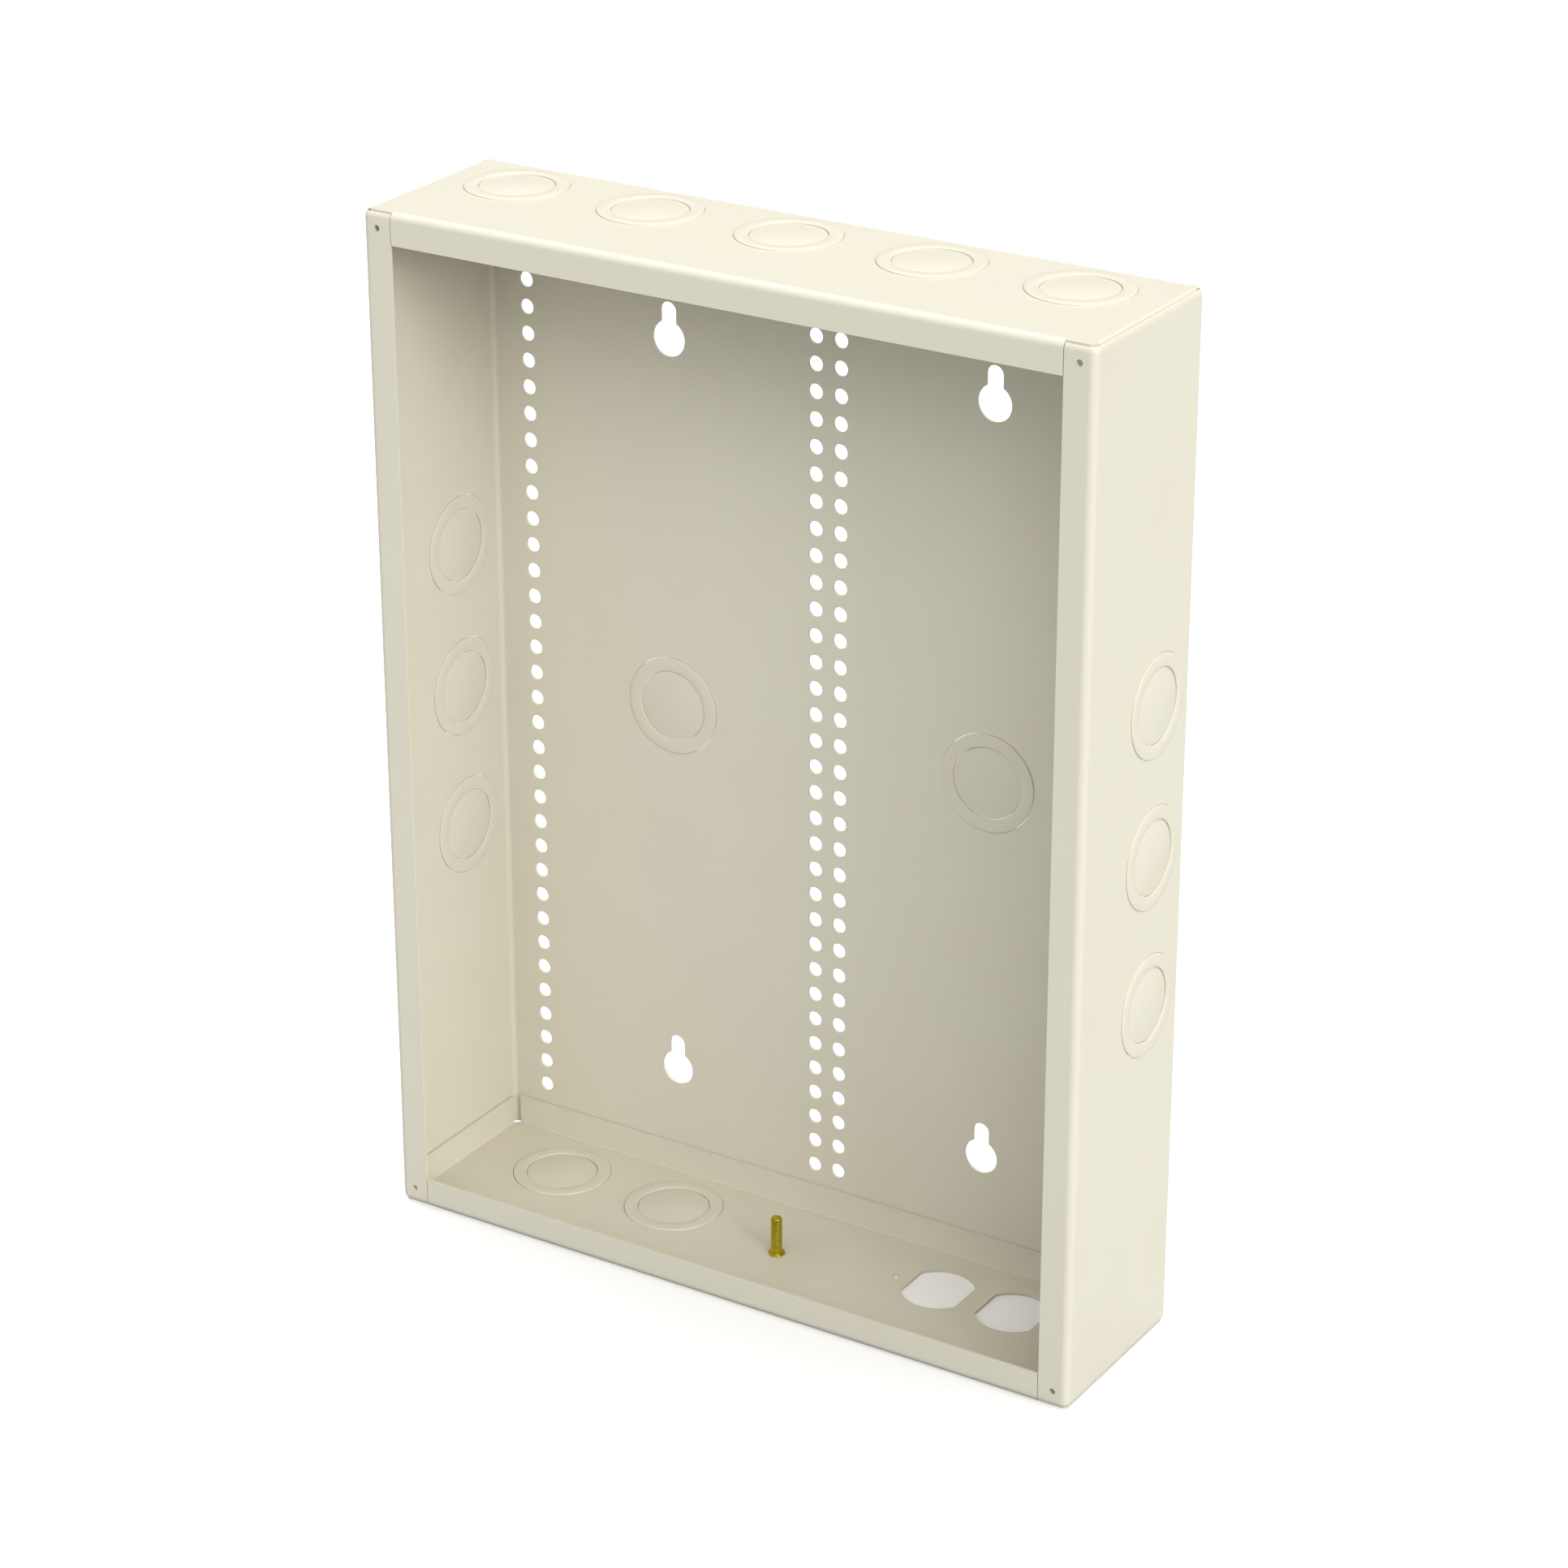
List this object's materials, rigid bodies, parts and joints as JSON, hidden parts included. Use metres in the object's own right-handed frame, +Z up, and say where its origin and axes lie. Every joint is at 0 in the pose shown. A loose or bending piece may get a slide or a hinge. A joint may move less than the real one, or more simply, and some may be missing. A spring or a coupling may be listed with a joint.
{
  "type": "residential load center enclosure",
  "caption": "Open-fronted sheet-steel box for a load center or structured wiring, with concentric knockouts, a hole grid, keyholes, receptacle cut-outs and a ground stud.",
  "frame": {"origin": "centre of the outside of the back sheet, which lies on the wall", "axes": "+X to the right as seen from the open front, +Z up, +Y into the wall; the open front faces -Y"},
  "size_m": [0.3586, 0.0928, 0.4861],
  "materials": {
    "almond_powder_coat": "satin almond powder coat with a faint orange peel",
    "yellow_zinc_stud": "yellow chromate plated steel stud"
  },
  "bodies": {
    "enclosure": {"enclosure_wrap": "almond_powder_coat", "top_end_cap": "almond_powder_coat", "bottom_end_cap": "almond_powder_coat", "ground_stud": "yellow_zinc_stud"},
    "top_knockout_1_ring": {"top_knockout_1_ring": "almond_powder_coat"},
    "top_knockout_1_slug": {"top_knockout_1_slug": "almond_powder_coat"},
    "top_knockout_2_ring": {"top_knockout_2_ring": "almond_powder_coat"},
    "top_knockout_2_slug": {"top_knockout_2_slug": "almond_powder_coat"},
    "top_knockout_3_ring": {"top_knockout_3_ring": "almond_powder_coat"},
    "top_knockout_3_slug": {"top_knockout_3_slug": "almond_powder_coat"},
    "top_knockout_4_ring": {"top_knockout_4_ring": "almond_powder_coat"},
    "top_knockout_4_slug": {"top_knockout_4_slug": "almond_powder_coat"},
    "top_knockout_5_ring": {"top_knockout_5_ring": "almond_powder_coat"},
    "top_knockout_5_slug": {"top_knockout_5_slug": "almond_powder_coat"},
    "bottom_knockout_1_ring": {"bottom_knockout_1_ring": "almond_powder_coat"},
    "bottom_knockout_1_slug": {"bottom_knockout_1_slug": "almond_powder_coat"},
    "bottom_knockout_2_ring": {"bottom_knockout_2_ring": "almond_powder_coat"},
    "bottom_knockout_2_slug": {"bottom_knockout_2_slug": "almond_powder_coat"},
    "left_knockout_1_ring": {"left_knockout_1_ring": "almond_powder_coat"},
    "left_knockout_1_slug": {"left_knockout_1_slug": "almond_powder_coat"},
    "left_knockout_2_ring": {"left_knockout_2_ring": "almond_powder_coat"},
    "left_knockout_2_slug": {"left_knockout_2_slug": "almond_powder_coat"},
    "left_knockout_3_ring": {"left_knockout_3_ring": "almond_powder_coat"},
    "left_knockout_3_slug": {"left_knockout_3_slug": "almond_powder_coat"},
    "right_knockout_1_ring": {"right_knockout_1_ring": "almond_powder_coat"},
    "right_knockout_1_slug": {"right_knockout_1_slug": "almond_powder_coat"},
    "right_knockout_2_ring": {"right_knockout_2_ring": "almond_powder_coat"},
    "right_knockout_2_slug": {"right_knockout_2_slug": "almond_powder_coat"},
    "right_knockout_3_ring": {"right_knockout_3_ring": "almond_powder_coat"},
    "right_knockout_3_slug": {"right_knockout_3_slug": "almond_powder_coat"},
    "back_knockout_1_ring": {"back_knockout_1_ring": "almond_powder_coat"},
    "back_knockout_1_slug": {"back_knockout_1_slug": "almond_powder_coat"},
    "back_knockout_2_ring": {"back_knockout_2_ring": "almond_powder_coat"},
    "back_knockout_2_slug": {"back_knockout_2_slug": "almond_powder_coat"}
  },
  "joints": [
    {"name": "top_knockout_1_ring_slide", "type": "slide", "parent": "enclosure", "child": "top_knockout_1_ring", "axis": [0, 0, 1], "range_m": [0, 0.012]},
    {"name": "top_knockout_1_slug_slide", "type": "slide", "parent": "top_knockout_1_ring", "child": "top_knockout_1_slug", "axis": [0, 0, 1], "range_m": [0, 0.012]},
    {"name": "top_knockout_2_ring_slide", "type": "slide", "parent": "enclosure", "child": "top_knockout_2_ring", "axis": [0, 0, 1], "range_m": [0, 0.012]},
    {"name": "top_knockout_2_slug_slide", "type": "slide", "parent": "top_knockout_2_ring", "child": "top_knockout_2_slug", "axis": [0, 0, 1], "range_m": [0, 0.012]},
    {"name": "top_knockout_3_ring_slide", "type": "slide", "parent": "enclosure", "child": "top_knockout_3_ring", "axis": [0, 0, 1], "range_m": [0, 0.012]},
    {"name": "top_knockout_3_slug_slide", "type": "slide", "parent": "top_knockout_3_ring", "child": "top_knockout_3_slug", "axis": [0, 0, 1], "range_m": [0, 0.012]},
    {"name": "top_knockout_4_ring_slide", "type": "slide", "parent": "enclosure", "child": "top_knockout_4_ring", "axis": [0, 0, 1], "range_m": [0, 0.012]},
    {"name": "top_knockout_4_slug_slide", "type": "slide", "parent": "top_knockout_4_ring", "child": "top_knockout_4_slug", "axis": [0, 0, 1], "range_m": [0, 0.012]},
    {"name": "top_knockout_5_ring_slide", "type": "slide", "parent": "enclosure", "child": "top_knockout_5_ring", "axis": [0, 0, 1], "range_m": [0, 0.012]},
    {"name": "top_knockout_5_slug_slide", "type": "slide", "parent": "top_knockout_5_ring", "child": "top_knockout_5_slug", "axis": [0, 0, 1], "range_m": [0, 0.012]},
    {"name": "bottom_knockout_1_ring_slide", "type": "slide", "parent": "enclosure", "child": "bottom_knockout_1_ring", "axis": [0, 0, -1], "range_m": [0, 0.012]},
    {"name": "bottom_knockout_1_slug_slide", "type": "slide", "parent": "bottom_knockout_1_ring", "child": "bottom_knockout_1_slug", "axis": [0, 0, -1], "range_m": [0, 0.012]},
    {"name": "bottom_knockout_2_ring_slide", "type": "slide", "parent": "enclosure", "child": "bottom_knockout_2_ring", "axis": [0, 0, -1], "range_m": [0, 0.012]},
    {"name": "bottom_knockout_2_slug_slide", "type": "slide", "parent": "bottom_knockout_2_ring", "child": "bottom_knockout_2_slug", "axis": [0, 0, -1], "range_m": [0, 0.012]},
    {"name": "left_knockout_1_ring_slide", "type": "slide", "parent": "enclosure", "child": "left_knockout_1_ring", "axis": [-1, 0, 0], "range_m": [0, 0.012]},
    {"name": "left_knockout_1_slug_slide", "type": "slide", "parent": "left_knockout_1_ring", "child": "left_knockout_1_slug", "axis": [-1, 0, 0], "range_m": [0, 0.012]},
    {"name": "left_knockout_2_ring_slide", "type": "slide", "parent": "enclosure", "child": "left_knockout_2_ring", "axis": [-1, 0, 0], "range_m": [0, 0.012]},
    {"name": "left_knockout_2_slug_slide", "type": "slide", "parent": "left_knockout_2_ring", "child": "left_knockout_2_slug", "axis": [-1, 0, 0], "range_m": [0, 0.012]},
    {"name": "left_knockout_3_ring_slide", "type": "slide", "parent": "enclosure", "child": "left_knockout_3_ring", "axis": [-1, 0, 0], "range_m": [0, 0.012]},
    {"name": "left_knockout_3_slug_slide", "type": "slide", "parent": "left_knockout_3_ring", "child": "left_knockout_3_slug", "axis": [-1, 0, 0], "range_m": [0, 0.012]},
    {"name": "right_knockout_1_ring_slide", "type": "slide", "parent": "enclosure", "child": "right_knockout_1_ring", "axis": [1, 0, 0], "range_m": [0, 0.012]},
    {"name": "right_knockout_1_slug_slide", "type": "slide", "parent": "right_knockout_1_ring", "child": "right_knockout_1_slug", "axis": [1, 0, 0], "range_m": [0, 0.012]},
    {"name": "right_knockout_2_ring_slide", "type": "slide", "parent": "enclosure", "child": "right_knockout_2_ring", "axis": [1, 0, 0], "range_m": [0, 0.012]},
    {"name": "right_knockout_2_slug_slide", "type": "slide", "parent": "right_knockout_2_ring", "child": "right_knockout_2_slug", "axis": [1, 0, 0], "range_m": [0, 0.012]},
    {"name": "right_knockout_3_ring_slide", "type": "slide", "parent": "enclosure", "child": "right_knockout_3_ring", "axis": [1, 0, 0], "range_m": [0, 0.012]},
    {"name": "right_knockout_3_slug_slide", "type": "slide", "parent": "right_knockout_3_ring", "child": "right_knockout_3_slug", "axis": [1, 0, 0], "range_m": [0, 0.012]},
    {"name": "back_knockout_1_ring_slide", "type": "slide", "parent": "enclosure", "child": "back_knockout_1_ring", "axis": [0, 1, 0], "range_m": [0, 0.012]},
    {"name": "back_knockout_1_slug_slide", "type": "slide", "parent": "back_knockout_1_ring", "child": "back_knockout_1_slug", "axis": [0, 1, 0], "range_m": [0, 0.012]},
    {"name": "back_knockout_2_ring_slide", "type": "slide", "parent": "enclosure", "child": "back_knockout_2_ring", "axis": [0, 1, 0], "range_m": [0, 0.012]},
    {"name": "back_knockout_2_slug_slide", "type": "slide", "parent": "back_knockout_2_ring", "child": "back_knockout_2_slug", "axis": [0, 1, 0], "range_m": [0, 0.012]}
  ]
}
